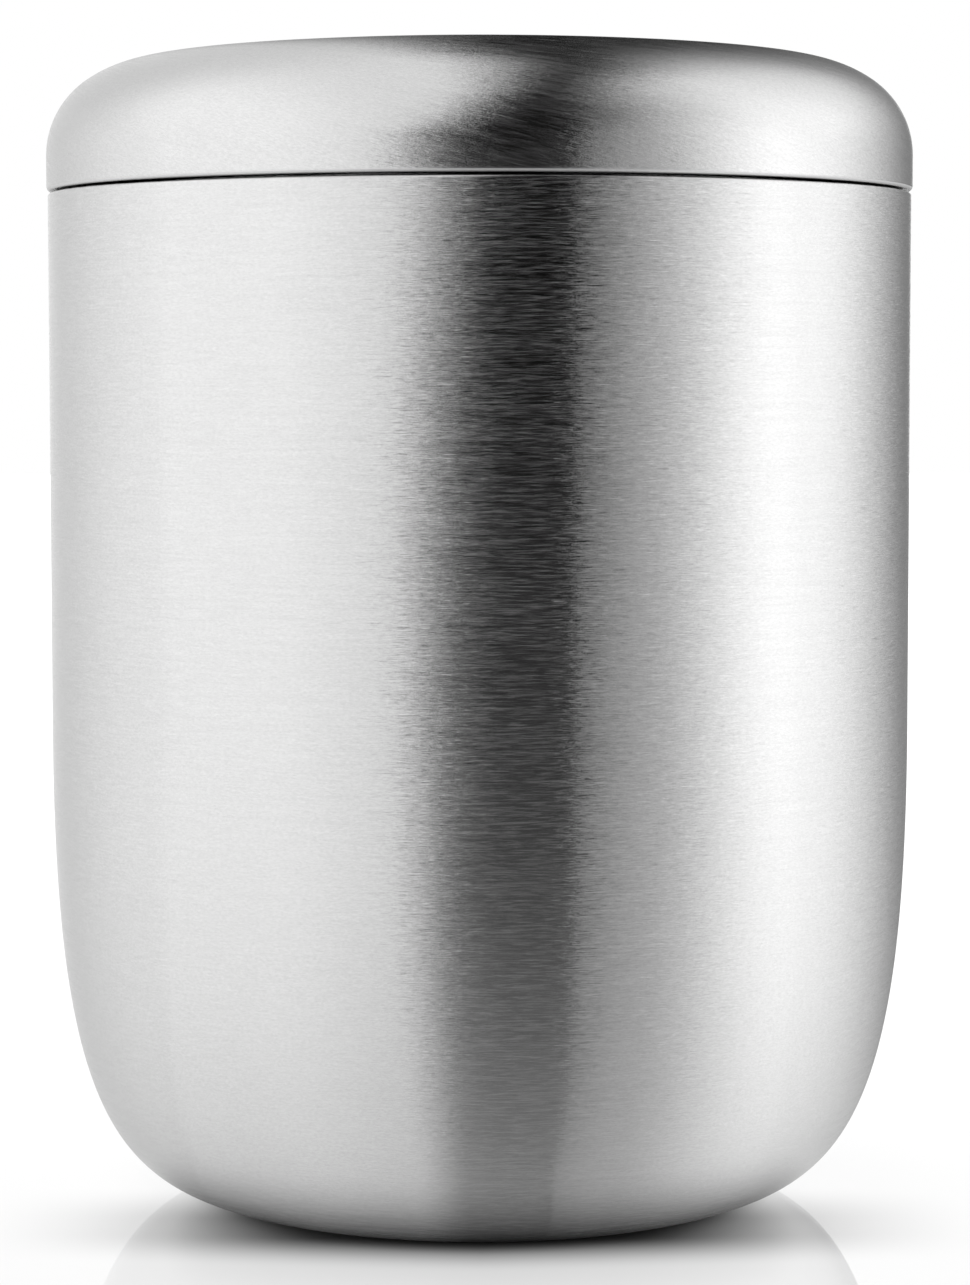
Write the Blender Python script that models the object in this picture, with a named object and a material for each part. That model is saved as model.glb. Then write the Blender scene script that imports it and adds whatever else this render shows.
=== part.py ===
"""Insulated lunch box: a double-walled steel jar with a screw lid under a domed steel cover.

Lengths are in metres, +Z is up, and the origin is on the jar's axis where it stands. All but the getter and
its strap are turned about the Z axis, which is also the axis that the lid turns about and rises along.
"""

import math

import bmesh
import bpy
from mathutils import Matrix, Vector

MM = 0.001

# Running gap between neighbouring pieces
GAP = 0.3 * MM

# Outer shell: a straight wall that curves in to a small flat foot
BODY_RADIUS = 53.0 * MM
SHOULDER_HEIGHT = 124.0 * MM
SHELL_WALL = 0.6 * MM
SHEET_BEND = 0.2 * MM
FOOT_RADIUS = 28.0 * MM
FOOT_RIM = 1.4 * MM
FOOT_LIFT = 0.4 * MM
CURVE_HEIGHT = 58.0 * MM
CURVE_PULL_DOWN = 46.2 * MM
CURVE_PULL_OUT = 18.3 * MM
WELD_HEIGHT = 24.0 * MM

# Pumping dimple in the middle of the underside
DIMPLE_RADIUS = 6.0 * MM
DIMPLE_DEPTH = 1.8 * MM
PUMP_HOLE_RADIUS = 0.8 * MM
SEAL_MARGIN = 2.0 * MM
SEAL_THICKNESS = 1.0 * MM

# Foot pad
PAD_THICKNESS = 1.6 * MM
PAD_CHAMFER = 0.3 * MM

# Neck and its thread
SHOULDER_WIDTH = 8.0 * MM
NECK_HEIGHT = 6.5 * MM
NECK_BEND = 0.5 * MM
THREAD_STARTS = 3
THREAD_LEAD = 12.0 * MM
THREAD_DEPTH = 1.1 * MM
THREAD_ROOT_WIDTH = 1.6 * MM
THREAD_CREST_WIDTH = 0.7 * MM
THREAD_STAGGER = 1.25 * MM
THREAD_END_DEPTH = 0.3 * MM
THREAD_RUNOUT = math.radians(12)
THREAD_CLEARANCE = 0.5 * MM

# Liner: the cup that holds the food
VACUUM_GAP = 2.6 * MM
LINER_WALL = 0.5 * MM
LINER_NECK_GAP = 0.8 * MM
LINER_FLOOR_HEIGHT = 7.0 * MM
LINER_FOOT_RADIUS = 28.0 * MM
LINER_SHOULDER_DROP = 10.0 * MM
LIP_HEIGHT = 1.0 * MM

# Radiation foil around the liner
FOIL_THICKNESS = 0.3 * MM
FOIL_BOTTOM = 14.0 * MM
FOIL_TOP_MARGIN = 2.0 * MM

# Getter pellet under the liner and the strap that holds it
GETTER_OFFSET = 16.0 * MM
GETTER_RADIUS = 3.6 * MM
GETTER_THICKNESS = 1.4 * MM
STRAP_THICKNESS = 0.4 * MM
STRAP_WIDTH = 4.0 * MM
STRAP_TAB = 2.6 * MM

# Lid cover: hemmed skirt, tight shoulder, then a shallow crown
LID_OVERHANG = 0.15 * MM
COVER_WALL = 0.5 * MM
HEM_THICKNESS = 1.15 * MM
HEM_HEIGHT = 2.4 * MM
SHOULDER_ARC_RADIUS = 10.9 * MM
SHOULDER_ARC_END = math.radians(55)
CROWN_EDGE_RADIUS = 15.2 * MM
CROWN_EDGE_SLOPE = math.radians(5.7)

# Plastic inside the lid
CAP_WALL = 1.2 * MM
INSERT_WALL = 1.2 * MM
INSERT_RECESS = 0.2 * MM
INSERT_CHAMFER = 1.6 * MM
PLUG_DEPTH = 7.0 * MM
PLUG_CLEARANCE = 1.0 * MM
PLUG_CORNER = 1.0 * MM
GASKET_THICKNESS = 1.4 * MM
GASKET_CHAMFER = 0.3 * MM
LEAST_FOAM = 0.9 * MM

# Faces around the axis, and steps along each curve
OUTER_SEGMENTS = 48
INNER_SEGMENTS = 36
SMALL_SEGMENTS = 24
THREAD_STEPS = 12
SHELL_CURVE_STEPS = 11
LINER_CURVE_STEPS = 9
LINER_SHOULDER_STEPS = 5
CROWN_STEPS = 2
CROWN_EDGE_STEPS = 3
SHOULDER_ARC_STEPS = 4
ROLL_STEPS = 4
BEND_STEPS = 2

# Angle above which an edge stays sharp, and distance below which two points are one
SHARP_ANGLE = math.radians(35)
SAME_POINT = 0.001 * MM

# Heights and radii that follow from the sizes above
shell_inside = BODY_RADIUS - SHELL_WALL
liner_radius = shell_inside - VACUUM_GAP
neck_radius = BODY_RADIUS - SHOULDER_WIDTH
neck_inside = neck_radius - SHELL_WALL
liner_neck_radius = neck_inside - LINER_NECK_GAP
mouth_radius = liner_neck_radius - LINER_WALL
neck_top = SHOULDER_HEIGHT + NECK_HEIGHT
lip_bottom = neck_top + GAP
lip_top = lip_bottom + LIP_HEIGHT
recess_radius = FOOT_RADIUS - FOOT_RIM
recess_ceiling = PAD_THICKNESS + GAP
dimple_ceiling = recess_ceiling + DIMPLE_DEPTH
seal_radius = DIMPLE_RADIUS - SEAL_MARGIN
thread_rise = NECK_HEIGHT - THREAD_ROOT_WIDTH - 2 * GAP
thread_sweep = thread_rise / THREAD_LEAD * math.tau
neck_ridge_start = SHOULDER_HEIGHT + GAP + THREAD_ROOT_WIDTH / 2
lid_radius = BODY_RADIUS + LID_OVERHANG
lid_bottom = SHOULDER_HEIGHT + GAP
hem_radius = lid_radius - HEM_THICKNESS
hem_top = lid_bottom + HEM_HEIGHT
cap_inset = COVER_WALL + GAP
cap_bottom = hem_top + GAP
insert_radius = hem_radius - GAP
insert_bottom = lid_bottom + INSERT_RECESS
lid_ridge_start = insert_bottom + THREAD_ROOT_WIDTH / 2
insert_bore = neck_radius + THREAD_DEPTH + THREAD_CLEARANCE
plug_radius = mouth_radius - PLUG_CLEARANCE
plug_bottom = lip_top - PLUG_DEPTH
plate_bottom = lip_top + GAP + GASKET_THICKNESS + GAP
plate_top = plate_bottom + INSERT_WALL
foam_inset = cap_inset + CAP_WALL + GAP
crown_edge_end = math.pi / 2 - CROWN_EDGE_SLOPE


def bezier(start, pull_start, pull_end, end, steps):
    """Points of one cubic curve, both ends included."""
    points = []
    for i in range(steps + 1):
        t = i / steps
        weights = ((1 - t) ** 3, 3 * t * (1 - t) ** 2, 3 * t * t * (1 - t), t ** 3)
        corners = (start, pull_start, pull_end, end)
        points.append(tuple(sum(w * c[k] for w, c in zip(weights, corners)) for k in (0, 1)))
    return points


def arc(centre, radius, first, last, steps):
    """Points of an arc, its angles measured from the outward radius."""
    angles = [first + (last - first) * i / steps for i in range(steps + 1)]
    return [(centre[0] + radius * math.cos(a), centre[1] + radius * math.sin(a)) for a in angles]


def rounded(corners, steps=BEND_STEPS):
    """A path through corners given as (radius, height, bend), each bend rounded off."""
    points = []
    for i, (r, z, bend) in enumerate(corners):
        here = Vector((r, z))
        if bend == 0:
            points.append((r, z))
            continue
        back = (Vector(corners[i - 1][:2]) - here).normalized()
        ahead = (Vector(corners[i + 1][:2]) - here).normalized()
        half = back.angle(ahead) / 2
        centre = here + (back + ahead).normalized() * (bend / math.sin(half))
        start = here + back * (bend / math.tan(half)) - centre
        end = here + ahead * (bend / math.tan(half)) - centre
        sweep = start.angle_signed(end)
        for k in range(steps + 1):
            turned = Matrix.Rotation(-sweep * k / steps, 2) @ start
            points.append(tuple(centre + turned))
    return points


def offset(path, distance):
    """The path moved sideways, to its right where distance is positive, with mitred corners."""
    headings = [(Vector(b) - Vector(a)).normalized() for a, b in zip(path, path[1:])]
    rights = [Vector((h.y, -h.x)) for h in headings]
    moved = []
    for i, point in enumerate(path):
        before, after = rights[max(i - 1, 0)], rights[min(i, len(rights) - 1)]
        mitre = (before + after).normalized()
        moved.append(tuple(Vector(point) + mitre * (distance / mitre.dot(after))))
    return moved


def sheet(path, thickness):
    """The closed outline of sheet metal whose outer face follows the path downwards."""
    return path + offset(path, thickness)[::-1]


def between(path, low, high):
    """The stretch of a falling path between two heights, cut exactly there."""
    points = []
    for (r0, z0), (r1, z1) in zip(path, path[1:]):
        for limit in (high, low):
            if z1 < limit < z0:
                points.append((r0 + (r1 - r0) * (z0 - limit) / (z0 - z1), limit))
        if low <= z1 <= high:
            points.append((r1, z1))
    first = path[0]
    return ([first] if low <= first[1] <= high else []) + points


def within(path, reach):
    """The start of an outward path, cut exactly at a radius."""
    for i, ((r0, z0), (r1, z1)) in enumerate(zip(path, path[1:])):
        if r1 > reach:
            return path[:i + 1] + [(reach, z0 + (z1 - z0) * (reach - r0) / (r1 - r0))]
    return path


def material(name, colour, roughness, metallic):
    made = bpy.data.materials.new(name)
    made.use_nodes = True
    shader = made.node_tree.nodes["Principled BSDF"]
    shader.inputs["Base Color"].default_value = (*colour, 1.0)
    shader.inputs["Roughness"].default_value = roughness
    shader.inputs["Metallic"].default_value = metallic
    made.diffuse_color = (*colour, 1.0)
    return made


def finish(name, mesh_data, look):
    """Turns a bmesh into a named object with its faces outward and its round faces smooth."""
    bmesh.ops.recalc_face_normals(mesh_data, faces=mesh_data.faces)
    mesh = bpy.data.meshes.new(name)
    mesh_data.to_mesh(mesh)
    mesh_data.free()
    mesh.shade_smooth()
    mesh.set_sharp_from_angle(angle=SHARP_ANGLE)
    made = bpy.data.objects.new(name, mesh)
    bpy.context.collection.objects.link(made)
    mesh.materials.append(look)
    return made


def turned(name, outline, look, segments=OUTER_SEGMENTS):
    """A solid spun about Z from a closed outline, which may start and end on the axis."""
    body = bmesh.new()
    points = [body.verts.new((r, 0.0, z)) for r, z in outline]
    chain = list(zip(points, points[1:]))
    on_axis = outline[0][0] == 0.0 and outline[-1][0] == 0.0
    if not on_axis:
        chain.append((points[-1], points[0]))
    edges = [body.edges.new(pair) for pair in chain]
    bmesh.ops.spin(
        body, geom=points + edges, cent=(0, 0, 0), axis=(0, 0, 1), dvec=(0, 0, 0),
        angle=math.tau, steps=segments, use_merge=True, use_duplicate=False,
    )
    bmesh.ops.remove_doubles(body, verts=body.verts, dist=SAME_POINT)
    return finish(name, body, look)


def join(target, tool):
    """Unites a helper's bodies with the target, and keeps the helper out of the model."""
    union = target.modifiers.new("join_" + tool.name, "BOOLEAN")
    union.operation = "UNION"
    union.object = tool
    tool.hide_render = True
    tool.display_type = "WIRE"


def thread_ridges(name, wall_radius, depth, first_angle, first_height, look):
    """Helical ridges that stand out of a wall, or into it where depth is negative."""
    ridges = bmesh.new()
    root_radius = wall_radius - math.copysign(SHELL_WALL / 2, depth)
    end_share = THREAD_END_DEPTH / THREAD_DEPTH
    for start in range(THREAD_STARTS):
        rings = []
        for i in range(THREAD_STEPS + 1):
            along = thread_sweep * i / THREAD_STEPS
            angle = first_angle + along + math.tau * start / THREAD_STARTS
            height = first_height + THREAD_LEAD * along / math.tau
            to_end = min(along, thread_sweep - along)
            full = min(1.0, end_share + to_end / THREAD_RUNOUT)
            section = (
                (root_radius, -THREAD_ROOT_WIDTH / 2),
                (wall_radius + depth * full, -THREAD_CREST_WIDTH / 2),
                (wall_radius + depth * full, THREAD_CREST_WIDTH / 2),
                (root_radius, THREAD_ROOT_WIDTH / 2),
            )
            rings.append([
                ridges.verts.new((r * math.cos(angle), r * math.sin(angle), height + z))
                for r, z in section
            ])
        for lower, upper in zip(rings, rings[1:]):
            for k in range(4):
                ridges.faces.new((lower[k - 1], lower[k], upper[k], upper[k - 1]))
        ridges.faces.new(rings[0])
        ridges.faces.new(rings[-1])
    return finish(name, ridges, look)


def foot_curve(foot_radius, foot_height, wall_radius, steps):
    """The long curve from a straight wall down to a flat foot."""
    wall_end = foot_height + CURVE_HEIGHT
    return bezier(
        (wall_radius, wall_end), (wall_radius, wall_end - CURVE_PULL_DOWN),
        (foot_radius + CURVE_PULL_OUT, foot_height), (foot_radius, foot_height), steps,
    )


def dome_centres():
    """Centres of the dome's shoulder and crown-edge arcs, their heights from the arcs' springing."""
    shoulder = (lid_radius - SHOULDER_ARC_RADIUS, 0.0)
    slip = SHOULDER_ARC_RADIUS - CROWN_EDGE_RADIUS
    edge = (shoulder[0] + slip * math.cos(SHOULDER_ARC_END), slip * math.sin(SHOULDER_ARC_END))
    return shoulder, edge


def crown_radius(edge):
    """Radius of the crown's sphere, tangent to the crown-edge arc and centred on the axis."""
    return CROWN_EDGE_RADIUS + edge[0] / math.cos(crown_edge_end)


def dome_rise(radius, inset):
    """How far the dome's surface, inset by a distance, lies above the springing at a radius."""
    shoulder, edge = dome_centres()
    if radius > shoulder[0] + (SHOULDER_ARC_RADIUS - inset) * math.cos(SHOULDER_ARC_END):
        centre, size = shoulder, SHOULDER_ARC_RADIUS - inset
    else:
        centre, size = edge, CROWN_EDGE_RADIUS - inset
    return centre[1] + math.sqrt(size ** 2 - (radius - centre[0]) ** 2)


def dome(inset):
    """The dome's path from the axis to the springing, inset by a distance from the outer face.

    Every layer has its points at the same angles, so that the gaps between layers are even.
    """
    shoulder, edge = dome_centres()
    radius = crown_radius(edge)
    low = edge[1] - (radius - CROWN_EDGE_RADIUS) * math.sin(crown_edge_end)
    crown = arc((0.0, low), radius - inset, math.pi / 2, crown_edge_end, CROWN_STEPS)
    rim = arc(edge, CROWN_EDGE_RADIUS - inset, crown_edge_end, SHOULDER_ARC_END, CROWN_EDGE_STEPS)
    side = arc(shoulder, SHOULDER_ARC_RADIUS - inset, SHOULDER_ARC_END, 0.0, SHOULDER_ARC_STEPS)
    path = [(0.0, crown[0][1])] + crown[1:] + rim[1:] + side[1:]
    return [(r, z + springing) for r, z in path]


# The dome springs as low as the insert's chamfered corner lets it
corner_radius = insert_bore + INSERT_WALL
corner_height = plate_top - INSERT_CHAMFER
bevel_radius = corner_radius - INSERT_CHAMFER
springing = max(
    corner_height - dome_rise(corner_radius, foam_inset), plate_top - dome_rise(bevel_radius, foam_inset)
) + GAP + LEAST_FOAM


def shell_path():
    """Outer face of the whole steel shell, from the neck's top to the foot."""
    neck = rounded([
        (neck_radius, neck_top, 0),
        (neck_radius, SHOULDER_HEIGHT, NECK_BEND),
        (BODY_RADIUS, SHOULDER_HEIGHT, SHELL_WALL + SHEET_BEND),
        (BODY_RADIUS, FOOT_LIFT + CURVE_HEIGHT, 0),
    ])
    return neck[:-1] + foot_curve(FOOT_RADIUS, FOOT_LIFT, BODY_RADIUS, SHELL_CURVE_STEPS)


def make_outer_shell(steel):
    wall = between(shell_path(), WELD_HEIGHT + GAP / 2, neck_top)
    shell = turned("outer_shell", sheet(wall, SHELL_WALL), steel)
    join(shell, thread_ridges("neck_thread", neck_radius, THREAD_DEPTH, 0.0, neck_ridge_start, steel))


def make_shell_base(steel):
    """The bottom cup, welded to the wall, with a recess for the pad and a pumping dimple."""
    bend = SHELL_WALL + SHEET_BEND
    cup = between(shell_path(), 0.0, WELD_HEIGHT - GAP / 2)
    underside = rounded([
        (FOOT_RADIUS, FOOT_LIFT, 0),
        (recess_radius, FOOT_LIFT, bend),
        (recess_radius, recess_ceiling, SHEET_BEND),
        (DIMPLE_RADIUS, recess_ceiling, bend),
        (DIMPLE_RADIUS, dimple_ceiling, SHEET_BEND),
        (PUMP_HOLE_RADIUS, dimple_ceiling, 0),
    ], steps=1)
    turned("shell_base", sheet(cup + underside[1:], SHELL_WALL), steel)


def make_seal_plug(glass):
    """Bead of sealing glass under the pump hole, with a stem that fills the hole."""
    top = dimple_ceiling - GAP
    stem = PUMP_HOLE_RADIUS - GAP
    turned("seal_plug", [
        (0.0, dimple_ceiling + SHELL_WALL),
        (stem, dimple_ceiling + SHELL_WALL),
        (stem, top),
        (seal_radius - SEAL_THICKNESS / 2, top),
        (seal_radius, top - SEAL_THICKNESS / 2),
        (seal_radius - SEAL_THICKNESS / 2, top - SEAL_THICKNESS),
        (0.0, top - SEAL_THICKNESS),
    ], glass, SMALL_SEGMENTS)


def make_foot_pad(silicone):
    """The disc that the jar stands on, in the recess of the bottom cup."""
    radius = recess_radius - GAP
    turned("foot_pad", [
        (0.0, PAD_THICKNESS),
        (radius - PAD_CHAMFER, PAD_THICKNESS),
        (radius, PAD_THICKNESS - PAD_CHAMFER),
        (radius, PAD_CHAMFER),
        (radius - PAD_CHAMFER, 0.0),
        (0.0, 0.0),
    ], silicone, INNER_SEGMENTS)


def liner_path():
    """The liner's outer face, from under the lip to the axis."""
    top = SHOULDER_HEIGHT
    low = top - LINER_SHOULDER_DROP
    middle = (top + low) / 2
    shoulder = bezier(
        (liner_neck_radius, top), (liner_neck_radius, middle),
        (liner_radius, middle), (liner_radius, low), LINER_SHOULDER_STEPS,
    )
    bottom = foot_curve(LINER_FOOT_RADIUS, LINER_FLOOR_HEIGHT, liner_radius, LINER_CURVE_STEPS)
    return [(liner_neck_radius, lip_bottom)] + shoulder + bottom + [(0.0, LINER_FLOOR_HEIGHT)]


def make_inner_liner(steel):
    """The seamless inner cup, whose rolled lip closes the space between the walls."""
    outside = liner_path()
    inside = offset(outside, LINER_WALL)[::-1]
    centre = ((mouth_radius + neck_radius) / 2, lip_bottom + GAP / 2)
    roll = (neck_radius - mouth_radius) / 2
    rise = (lip_top - centre[1]) / roll
    crest = arc(centre, roll, math.pi, 0.0, ROLL_STEPS)
    over = [(r, centre[1] + (z - centre[1]) * rise) for r, z in crest]
    lip = over + [(neck_radius, lip_bottom)]
    turned("inner_liner", inside + lip + outside, steel, INNER_SEGMENTS)


def make_radiation_foil(copper):
    """Reflecting foil wrapped around the liner's side."""
    top = SHOULDER_HEIGHT - LINER_SHOULDER_DROP - FOIL_TOP_MARGIN
    side = between(liner_path(), FOIL_BOTTOM, top)
    outside = offset(side, -GAP - FOIL_THICKNESS)
    turned("radiation_foil", sheet(outside, FOIL_THICKNESS), copper, INNER_SEGMENTS)


def make_getter(alloy, steel):
    """Gas-absorbing pellet under the liner's floor, and the strap spot-welded over it."""
    top = LINER_FLOOR_HEIGHT - GAP
    pellet = bmesh.new()
    bmesh.ops.create_cone(
        pellet, cap_ends=True, segments=SMALL_SEGMENTS,
        radius1=GETTER_RADIUS, radius2=GETTER_RADIUS, depth=GETTER_THICKNESS,
    )
    getter = finish("getter", pellet, alloy)
    getter.location = (GETTER_OFFSET, 0.0, top - GETTER_THICKNESS / 2)
    drop = GETTER_THICKNESS + GAP
    inner = GETTER_RADIUS + GAP
    run = [
        (-inner - STRAP_THICKNESS - STRAP_TAB, top), (-inner, top), (-inner, top - drop),
        (inner, top - drop), (inner, top), (inner + STRAP_THICKNESS + STRAP_TAB, top),
    ]
    band = bmesh.new()
    outline = run + offset(run, STRAP_THICKNESS)[::-1]
    side = [band.verts.new((x, -STRAP_WIDTH / 2, z)) for x, z in outline]
    face = band.faces.new(side)
    grown = bmesh.ops.extrude_face_region(band, geom=[face])
    moved = [g for g in grown["geom"] if isinstance(g, bmesh.types.BMVert)]
    bmesh.ops.translate(band, verts=moved, vec=(0.0, STRAP_WIDTH, 0.0))
    strap = finish("getter_strap", band, steel)
    strap.location = (GETTER_OFFSET, 0.0, 0.0)


def make_lid_cover(steel):
    """Domed steel cover with its lower edge folded in and up as a flat hem."""
    roll = HEM_THICKNESS / 2
    fold = arc((lid_radius - roll, lid_bottom + roll), roll, 0.0, -math.pi, ROLL_STEPS)
    inner_wall = lid_radius - COVER_WALL
    outside = dome(0.0) + fold + [(hem_radius, hem_top), (inner_wall, hem_top)]
    turned("lid_cover", outside + dome(COVER_WALL)[::-1], steel)


def make_lid_cap(plastic):
    """Plastic cap that backs the steel cover and rests on its hem."""
    outside = dome(cap_inset) + [(lid_radius - cap_inset, cap_bottom)]
    inner = cap_inset + CAP_WALL
    inside = dome(inner) + [(lid_radius - inner, cap_bottom)]
    turned("lid_cap", outside + inside[::-1], plastic, INNER_SEGMENTS)


def insert_top_path():
    """Upper face of the insert, from its rim to the middle of the plug."""
    rim = insert_radius - INSERT_WALL
    floor = insert_bottom + INSERT_WALL
    return [
        (rim, cap_bottom - GAP), (rim, floor), (corner_radius, floor), (corner_radius, corner_height),
        (bevel_radius, plate_top), (plug_radius - INSERT_WALL, plate_top),
        (plug_radius - INSERT_WALL, plug_bottom + INSERT_WALL), (0.0, plug_bottom + INSERT_WALL),
    ]


def make_lid_insert(plastic):
    """Threaded plastic insert: outer rim, threaded wall, gasket plate and hollow plug in one."""
    below = rounded([
        (0.0, plug_bottom, 0),
        (plug_radius, plug_bottom, PLUG_CORNER),
        (plug_radius, plate_bottom, 0),
        (insert_bore, plate_bottom, 0),
        (insert_bore, insert_bottom, 0),
        (insert_radius, insert_bottom, 0),
        (insert_radius, cap_bottom - GAP, 0),
    ])
    insert = turned("lid_insert", below + insert_top_path(), plastic, INNER_SEGMENTS)
    lag = (lid_ridge_start - neck_ridge_start + THREAD_STAGGER) / THREAD_LEAD * math.tau
    join(insert, thread_ridges("lid_thread", insert_bore, -THREAD_DEPTH, lag, lid_ridge_start, plastic))


def make_lid_insulation(foam):
    """Foam that fills the space between the cap and the insert."""
    below = offset(insert_top_path(), GAP)
    reach = below[0][0]
    turned("lid_insulation", within(dome(foam_inset), reach) + below, foam, INNER_SEGMENTS)


def make_lid_gasket(silicone):
    """Sealing ring between the insert's plate and the liner's lip."""
    inner = plug_radius + GAP
    outer = insert_bore - GAP
    low = lip_top + GAP
    high = low + GASKET_THICKNESS
    turned("lid_gasket", [
        (inner, high), (outer, high), (outer, low + GASKET_CHAMFER), (outer - GASKET_CHAMFER, low),
        (inner + GASKET_CHAMFER, low), (inner, low + GASKET_CHAMFER),
    ], silicone, INNER_SEGMENTS)


def hang_on_axis(name, pieces):
    """Parents the pieces that turn together to an empty on the axis they turn about."""
    axis = bpy.data.objects.new(name, None)
    bpy.context.collection.objects.link(axis)
    for piece in pieces:
        bpy.data.objects[piece].parent = axis


def clear_scene():
    for old in list(bpy.data.objects):
        bpy.data.objects.remove(old, do_unlink=True)


def main():
    clear_scene()
    steel = material("brushed_steel", (0.62, 0.62, 0.61), 0.32, 1.0)
    liner_steel = material("liner_steel", (0.66, 0.66, 0.65), 0.22, 1.0)
    cover_steel = material("cover_steel", (0.62, 0.62, 0.61), 0.30, 1.0)
    copper = material("copper_foil", (0.72, 0.42, 0.28), 0.25, 1.0)
    alloy = material("getter_alloy", (0.30, 0.30, 0.31), 0.60, 1.0)
    strap_steel = material("strap_steel", (0.55, 0.55, 0.55), 0.35, 1.0)
    glass = material("sealing_glass", (0.16, 0.20, 0.18), 0.15, 0.0)
    plastic = material("insert_plastic", (0.03, 0.03, 0.032), 0.45, 0.0)
    cap_plastic = material("cap_plastic", (0.05, 0.05, 0.052), 0.50, 0.0)
    foam = material("lid_foam", (0.88, 0.87, 0.82), 0.90, 0.0)
    gasket_silicone = material("gasket_silicone", (0.72, 0.72, 0.70), 0.55, 0.0)
    pad_silicone = material("pad_silicone", (0.05, 0.05, 0.05), 0.70, 0.0)

    make_outer_shell(steel)
    make_shell_base(steel)
    make_seal_plug(glass)
    make_foot_pad(pad_silicone)
    make_inner_liner(liner_steel)
    make_radiation_foil(copper)
    make_getter(alloy, strap_steel)
    make_lid_cover(cover_steel)
    make_lid_cap(cap_plastic)
    make_lid_insert(plastic)
    make_lid_insulation(foam)
    make_lid_gasket(gasket_silicone)
    hang_on_axis("lid_axis", ("lid_cover", "lid_cap", "lid_insert", "lid_insulation", "lid_gasket"))


main()
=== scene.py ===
"""Looks of the insulated lunch box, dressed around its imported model.

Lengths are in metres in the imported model's frame: +Z up along the jar's axis, which stands at the origin.
"""

import math

import bmesh
import bpy
from mathutils import Matrix, Vector


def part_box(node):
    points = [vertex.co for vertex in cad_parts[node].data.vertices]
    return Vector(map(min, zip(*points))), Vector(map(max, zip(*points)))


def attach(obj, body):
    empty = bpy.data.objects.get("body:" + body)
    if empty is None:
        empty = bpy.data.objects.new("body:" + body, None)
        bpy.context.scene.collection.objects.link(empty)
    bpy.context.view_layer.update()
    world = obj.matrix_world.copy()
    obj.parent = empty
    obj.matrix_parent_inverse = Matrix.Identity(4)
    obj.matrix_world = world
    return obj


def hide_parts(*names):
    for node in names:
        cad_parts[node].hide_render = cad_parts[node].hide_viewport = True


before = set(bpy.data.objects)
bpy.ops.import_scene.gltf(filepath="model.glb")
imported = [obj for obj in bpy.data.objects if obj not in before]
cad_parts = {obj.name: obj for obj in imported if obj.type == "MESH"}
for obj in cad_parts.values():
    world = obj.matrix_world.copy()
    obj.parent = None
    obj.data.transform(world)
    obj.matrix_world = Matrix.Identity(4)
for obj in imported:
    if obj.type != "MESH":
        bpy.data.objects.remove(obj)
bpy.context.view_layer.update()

MM = 0.001

# Sheet metal and fits
GAP = 0.3 * MM
SHELL_WALL = 0.6 * MM
LINER_WALL = 0.5 * MM
COVER_WALL = 0.5 * MM
INSERT_WALL = 1.2 * MM
SHEET_BEND = 0.2 * MM
NECK_BEND = 0.5 * MM
SHOULDER_BEND = 0.3 * MM

# Distances within which a point counts as on a wall, or as at a place
ON_WALL = GAP / 10
SAME_PLACE = GAP / 100

# The long curve from the wall down to the foot, and the underside
CURVE_HEIGHT = 58.0 * MM
CURVE_PULL_DOWN = 46.2 * MM
CURVE_PULL_OUT = 18.3 * MM
FOOT_RADIUS = 28.0 * MM
FOOT_LIFT = 0.4 * MM
FOOT_RIM = 1.4 * MM
DIMPLE_RADIUS = 6.0 * MM
DIMPLE_DEPTH = 1.8 * MM
PUMP_HOLE_RADIUS = 0.8 * MM
PAD_ROUND = 0.5 * MM

# Neck and threads
SHOULDER_WIDTH = 8.0 * MM
NECK_HEIGHT = 6.5 * MM
THREAD_STARTS = 3
THREAD_LEAD = 12.0 * MM
THREAD_DEPTH = 1.1 * MM
THREAD_ROOT_WIDTH = 1.6 * MM
THREAD_STAGGER = 1.25 * MM
THREAD_RUNOUT = math.radians(12)
THREAD_CLEARANCE = 0.5 * MM
THREAD_PITCH_STEP = 0.16 * MM
THREAD_CREST = 0.72

# Liner
LINER_NECK_GAP = 0.8 * MM
LINER_FOOT_RADIUS = 28.0 * MM
LINER_FLOOR_HEIGHT = 7.0 * MM
LINER_SHOULDER_DROP = 10.0 * MM
LIP_HEIGHT = 1.0 * MM

# Lid
HEM_THICKNESS = 1.15 * MM
HEM_HEIGHT = 2.4 * MM
HEM_EDGE = 0.36 * MM
SHOULDER_ARC_RADIUS = 10.9 * MM
SHOULDER_ARC_END = math.radians(55)
CROWN_EDGE_RADIUS = 15.2 * MM
CROWN_EDGE_SLOPE = math.radians(5.7)
INSERT_CHAMFER = 1.6 * MM
INSERT_ROUND = 0.25 * MM
PLUG_DEPTH = 7.0 * MM
PLUG_CLEARANCE = 1.0 * MM
PLUG_CORNER = 1.0 * MM
GASKET_ROUND = 0.35 * MM

# Faces around the axis, and along each curve
FINE_SEGMENTS = 240
MIDDLE_SEGMENTS = 160
FOOT_STEPS = 56
CROWN_STEPS = 30
CROWN_EDGE_STEPS = 16
LID_SHOULDER_STEPS = 20
LINER_SHOULDER_STEPS = 20
LINER_FOOT_STEPS = 40
ROLL_STEPS = 16
BEND_STEPS = 6
INSERT_BEND_STEPS = 4

# Edges steeper than these stay sharp
STEEL_SHARP_EDGE = math.radians(60)
PLASTIC_SHARP_EDGE = math.radians(40)

# Brushed steel: marks of one size, as length around the axis and width along the section
TONE_MARK = (0.5 * MM, 0.16 * MM)
GLINT_MARK = (2.6 * MM, 0.15 * MM)
STEEL_CLOUD = 30 * MM

# Marks that follow each steel's own brushing: as shares of its length, then of its width
DASH_LENGTH = 0.4
BAND_LENGTH = 6
BAND_WIDTH = 4
GRAIN_LENGTH = 1.3
UPWARD_GRAIN = 1.2

# A quarter turn, which stretches highlights across the brushing
BRUSHING_TURN = 0.25

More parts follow.
